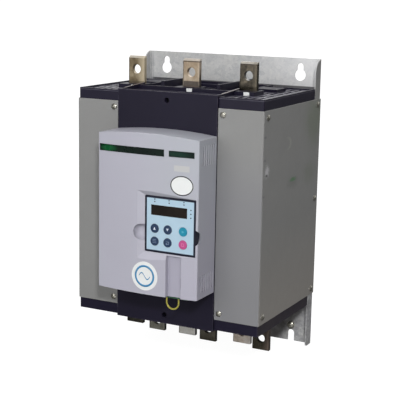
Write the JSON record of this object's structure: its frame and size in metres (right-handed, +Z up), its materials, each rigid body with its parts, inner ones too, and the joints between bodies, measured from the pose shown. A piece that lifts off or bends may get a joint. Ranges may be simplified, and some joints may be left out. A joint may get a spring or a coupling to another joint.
{
  "type": "motor soft starter",
  "caption": "Panel-mounted three-phase motor soft starter with vented case, pull-out keypad, line bars on top and load and bypass bars below.",
  "frame": {"origin": "centre of the back plate's rear face, where the starter sits on the wall or mounting panel", "axes": "+X to the right seen from the front, +Y back into the wall, +Z up; the front cover faces -Y"},
  "size_m": [0.2902, 0.2539, 0.4267],
  "materials": {
    "galvanised_steel": "spangled zinc",
    "grey_paint": "satin",
    "charcoal_plastic": "fine grain",
    "light_plastic": "satin",
    "navy_plastic": "satin",
    "overlay_film": "satin",
    "display_tint": "gloss",
    "black_plastic": "satin",
    "led_lens": "gloss",
    "circuit_board": "satin",
    "key_navy": "satin",
    "key_teal": "satin",
    "key_pink": "satin",
    "strip_green": "satin",
    "white_label": "satin",
    "green_plastic": "satin",
    "wire_yellow": "satin",
    "plated_copper": "tin plated, brushed",
    "steel_screw": "nickel plated",
    "aluminium": "as extruded",
    "ribbon_grey": "satin",
    "transformer_steel": "varnished",
    "black_screw": "black"
  },
  "bodies": {
    "housing": {"back_plate": "galvanised_steel", "left_side_panel": "grey_paint", "right_side_panel": "grey_paint", "top_frame": "charcoal_plastic", "bottom_frame": "charcoal_plastic", "centre_panel": "charcoal_plastic", "front_cover": "light_plastic", "name_strip_left": "strip_green", "name_strip_right": "strip_green", "oval_sticker": "white_label", "round_sticker": "white_label", "phase_labels": "white_label", "control_terminal": "green_plastic", "jumper_wire": "wire_yellow", "control_board": "circuit_board", "board_standoffs": "steel_screw", "line_bar_1": "plated_copper", "line_bar_2": "plated_copper", "line_bar_3": "plated_copper", "load_bar_1": "plated_copper", "load_bar_2": "plated_copper", "load_bar_3": "plated_copper", "bypass_bar_1": "plated_copper", "bypass_bar_2": "plated_copper", "bypass_bar_3": "plated_copper", "thyristor_module_1": "black_plastic", "thyristor_module_2": "black_plastic", "thyristor_module_3": "black_plastic", "bar_bolts": "steel_screw", "module_screws": "steel_screw", "heat_sink": "aluminium", "current_transformer_1": "black_plastic", "current_transformer_2": "black_plastic", "current_transformer_3": "black_plastic", "driver_board": "circuit_board", "ribbon_cable": "ribbon_grey", "control_transformer": "transformer_steel", "fan_frame_left": "black_plastic", "fan_frame_right": "black_plastic", "panel_screws": "steel_screw", "centre_screws": "black_screw", "earth_screw": "steel_screw"},
    "keypad": {"keypad_housing": "navy_plastic", "keypad_overlay": "overlay_film", "display_window": "display_tint", "display_module": "black_plastic", "status_leds": "led_lens", "keypad_board": "circuit_board"},
    "key_up_cap": {"key_up": "key_navy"},
    "key_down_cap": {"key_down": "key_navy"},
    "key_menu_cap": {"key_menu": "key_navy"},
    "key_return_cap": {"key_return": "key_navy"},
    "key_start_cap": {"key_start": "key_teal"},
    "key_stop_cap": {"key_stop": "key_pink"},
    "fan_left": {"fan_rotor_left": "black_plastic"},
    "fan_right": {"fan_rotor_right": "black_plastic"}
  },
  "joints": [
    {"name": "keypad_pull", "type": "slide", "parent": "housing", "child": "keypad", "axis": [0, -1, 0], "range_m": [0, 0.024]},
    {"name": "key_up_press", "type": "slide", "parent": "keypad", "child": "key_up_cap", "axis": [0, 1, 0], "range_m": [0, 0.0008], "stiffness_N_per_m": 600},
    {"name": "key_down_press", "type": "slide", "parent": "keypad", "child": "key_down_cap", "axis": [0, 1, 0], "range_m": [0, 0.0008], "stiffness_N_per_m": 600},
    {"name": "key_menu_press", "type": "slide", "parent": "keypad", "child": "key_menu_cap", "axis": [0, 1, 0], "range_m": [0, 0.0008], "stiffness_N_per_m": 600},
    {"name": "key_return_press", "type": "slide", "parent": "keypad", "child": "key_return_cap", "axis": [0, 1, 0], "range_m": [0, 0.0008], "stiffness_N_per_m": 600},
    {"name": "key_start_press", "type": "slide", "parent": "keypad", "child": "key_start_cap", "axis": [0, 1, 0], "range_m": [0, 0.0008], "stiffness_N_per_m": 600},
    {"name": "key_stop_press", "type": "slide", "parent": "keypad", "child": "key_stop_cap", "axis": [0, 1, 0], "range_m": [0, 0.0008], "stiffness_N_per_m": 600},
    {"name": "fan_left_spin", "type": "hinge", "parent": "housing", "child": "fan_left", "pos_m": [-0.0435, -0.054, -0.13], "axis": [0, 0, 1], "continuous": true},
    {"name": "fan_right_spin", "type": "hinge", "parent": "housing", "child": "fan_right", "pos_m": [0.0435, -0.054, -0.13], "axis": [0, 0, 1], "continuous": true}
  ]
}
